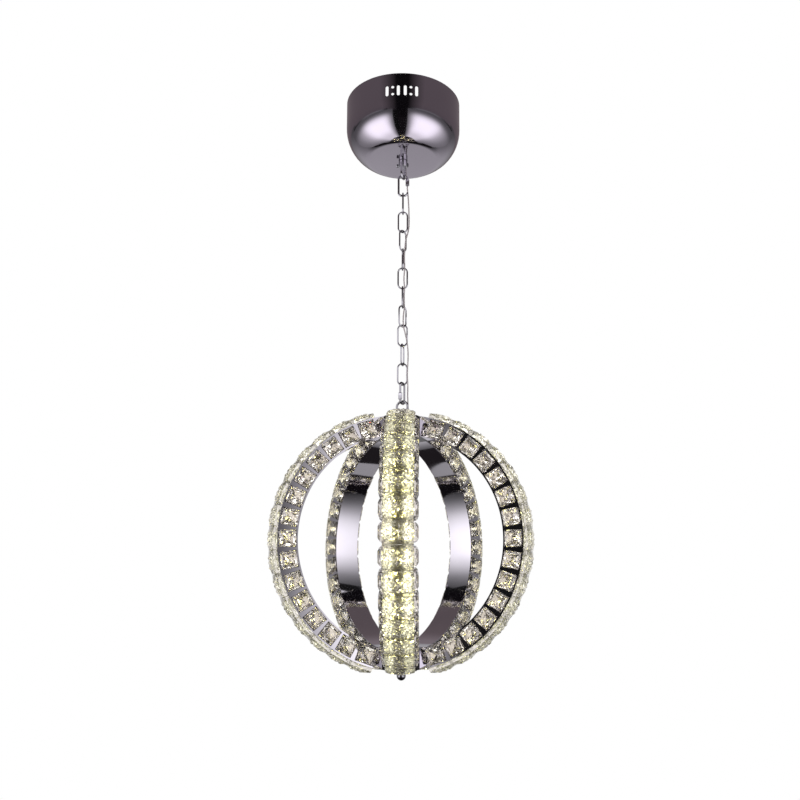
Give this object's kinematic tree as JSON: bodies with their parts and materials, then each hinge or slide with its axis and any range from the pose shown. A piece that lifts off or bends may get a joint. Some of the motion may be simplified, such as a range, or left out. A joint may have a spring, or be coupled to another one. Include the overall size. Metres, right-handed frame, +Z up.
{
  "type": "chandelier",
  "caption": "Pendant chandelier: crystal-set ribs form an open lit globe that hangs by a link chain and a clear cord from a deep chromed ceiling cup.",
  "frame": {"origin": "centre of the ceiling bracket's upper face, in the ceiling plane", "axes": "+Z up through the ceiling, the globe hangs along -Z, and the front rib faces -Y"},
  "size_m": [0.3856, 0.3682, 0.9006],
  "materials": {
    "smoked_chrome": "mirror-polished, dark plated",
    "zinc_steel": "zinc-plated sheet",
    "bright_chrome": "bright plated wire",
    "mirror_steel": "mirror-polished stainless sheet",
    "black_steel": "black enamel",
    "crystal": "cut and polished crystal",
    "led_board": "white flexible board with warm LED chips",
    "clear_acrylic": "frosted clear strip",
    "clear_cord": "clear PVC over fine copper",
    "white_plastic": "moulded case",
    "black_plastic": "moulded",
    "lead_pvc": "single-core PVC lead"
  },
  "bodies": {
    "canopy": {"canopy_shell": "smoked_chrome", "ceiling_bracket": "zinc_steel", "centre_nipple": "zinc_steel", "nipple_nuts": "zinc_steel", "nipple_washer": "zinc_steel", "earth_screw": "zinc_steel", "hang_loop": "bright_chrome", "loop_set_screw": "bright_chrome", "driver_tray": "zinc_steel", "led_driver": "white_plastic", "driver_screws": "zinc_steel", "terminal_block": "white_plastic", "terminal_screws": "zinc_steel", "driver_leads": "lead_pvc", "cord_grip": "bright_chrome", "power_cord": "clear_cord"},
    "upper_link": {"upper_quick_link": "bright_chrome"},
    "upper_nut": {"upper_sleeve_nut": "bright_chrome"},
    "link_01": {"chain_link_01": "bright_chrome"},
    "link_02": {"chain_link_02": "bright_chrome"},
    "link_03": {"chain_link_03": "bright_chrome"},
    "link_04": {"chain_link_04": "bright_chrome"},
    "link_05": {"chain_link_05": "bright_chrome"},
    "link_06": {"chain_link_06": "bright_chrome"},
    "link_07": {"chain_link_07": "bright_chrome"},
    "link_08": {"chain_link_08": "bright_chrome"},
    "link_09": {"chain_link_09": "bright_chrome"},
    "link_10": {"chain_link_10": "bright_chrome"},
    "lower_link": {"lower_quick_link": "bright_chrome"},
    "lower_nut": {"lower_sleeve_nut": "bright_chrome"},
    "globe": {"globe_eye": "bright_chrome", "stud_nuts": "zinc_steel", "top_hub": "black_steel", "top_hub_cap": "black_steel", "bottom_hub": "black_steel", "bottom_hub_cap": "black_steel", "hub_cap_screws": "zinc_steel", "rib_screws": "zinc_steel", "cord_grommet": "black_plastic", "lead_connector": "white_plastic", "rib_leads": "lead_pvc", "finial_ball": "bright_chrome", "rib_1_frame": "mirror_steel", "rib_1_cheek_crystals": "crystal", "rib_1_outer_crystals": "crystal", "rib_2_frame": "mirror_steel", "rib_2_cheek_crystals": "crystal", "rib_2_outer_crystals": "crystal", "rib_3_frame": "mirror_steel", "rib_3_cheek_crystals": "crystal", "rib_3_outer_crystals": "crystal", "rib_4_frame": "mirror_steel", "rib_4_cheek_crystals": "crystal", "rib_4_outer_crystals": "crystal", "rib_5_frame": "mirror_steel", "rib_5_cheek_crystals": "crystal", "rib_5_outer_crystals": "crystal", "led_strips": "led_board", "rib_cover_strips": "clear_acrylic"}
  },
  "joints": [
    {"name": "upper_link_swing", "type": "hinge", "parent": "canopy", "child": "upper_link", "pos_m": [0, 0, -0.12125], "axis": [0.309, 0.9511, 0], "range_deg": [-30, 30], "deforming": ["power_cord"]},
    {"name": "upper_nut_travel", "type": "slide", "parent": "upper_link", "child": "upper_nut", "axis": [0, 0, -1], "range_m": [0, 0.0085]},
    {"name": "link_01_swing", "type": "hinge", "parent": "upper_link", "child": "link_01", "pos_m": [0, 0, -0.1501], "axis": [1, 0, 0], "range_deg": [-30, 30], "deforming": ["power_cord"]},
    {"name": "link_02_swing", "type": "hinge", "parent": "link_01", "child": "link_02", "pos_m": [0, 0, -0.1805], "axis": [0, -1, 0], "range_deg": [-30, 30], "deforming": ["power_cord"]},
    {"name": "link_03_swing", "type": "hinge", "parent": "link_02", "child": "link_03", "pos_m": [0, 0, -0.2113], "axis": [-1, 0, 0], "range_deg": [-30, 30], "deforming": ["power_cord"]},
    {"name": "link_04_swing", "type": "hinge", "parent": "link_03", "child": "link_04", "pos_m": [0, 0, -0.2421], "axis": [-0.6691, -0.7431, 0], "range_deg": [-30, 30], "deforming": ["power_cord"]},
    {"name": "link_05_swing", "type": "hinge", "parent": "link_04", "child": "link_05", "pos_m": [0, 0, -0.2729], "axis": [-0.1045, 0.9945, 0], "range_deg": [-30, 30], "deforming": ["power_cord"]},
    {"name": "link_06_swing", "type": "hinge", "parent": "link_05", "child": "link_06", "pos_m": [0, 0, -0.3037], "axis": [1, 0, 0], "range_deg": [-30, 30], "deforming": ["power_cord"]},
    {"name": "link_07_swing", "type": "hinge", "parent": "link_06", "child": "link_07", "pos_m": [0, 0, -0.3345], "axis": [-0.0349, -0.9994, 0], "range_deg": [-30, 30], "deforming": ["power_cord"]},
    {"name": "link_08_swing", "type": "hinge", "parent": "link_07", "child": "link_08", "pos_m": [0, 0, -0.3653], "axis": [0.7314, 0.682, 0], "range_deg": [-30, 30], "deforming": ["power_cord"]},
    {"name": "link_09_swing", "type": "hinge", "parent": "link_08", "child": "link_09", "pos_m": [0, 0, -0.3961], "axis": [-0.9994, 0.0349, 0], "range_deg": [-30, 30], "deforming": ["power_cord"]},
    {"name": "link_10_swing", "type": "hinge", "parent": "link_09", "child": "link_10", "pos_m": [0, 0, -0.4269], "axis": [0.2588, 0.9659, 0], "range_deg": [-30, 30], "deforming": ["power_cord"]},
    {"name": "lower_link_swing", "type": "hinge", "parent": "link_10", "child": "lower_link", "pos_m": [0, 0, -0.4577], "axis": [1, 0, 0], "range_deg": [-30, 30], "deforming": ["power_cord"]},
    {"name": "lower_nut_travel", "type": "slide", "parent": "lower_link", "child": "lower_nut", "axis": [0, 0, 1], "range_m": [0, 0.0085]},
    {"name": "globe_swing", "type": "hinge", "parent": "lower_link", "child": "globe", "pos_m": [0, 0, -0.4871], "axis": [-0.4226, -0.9063, 0], "range_deg": [-30, 30], "deforming": ["power_cord"]}
  ]
}
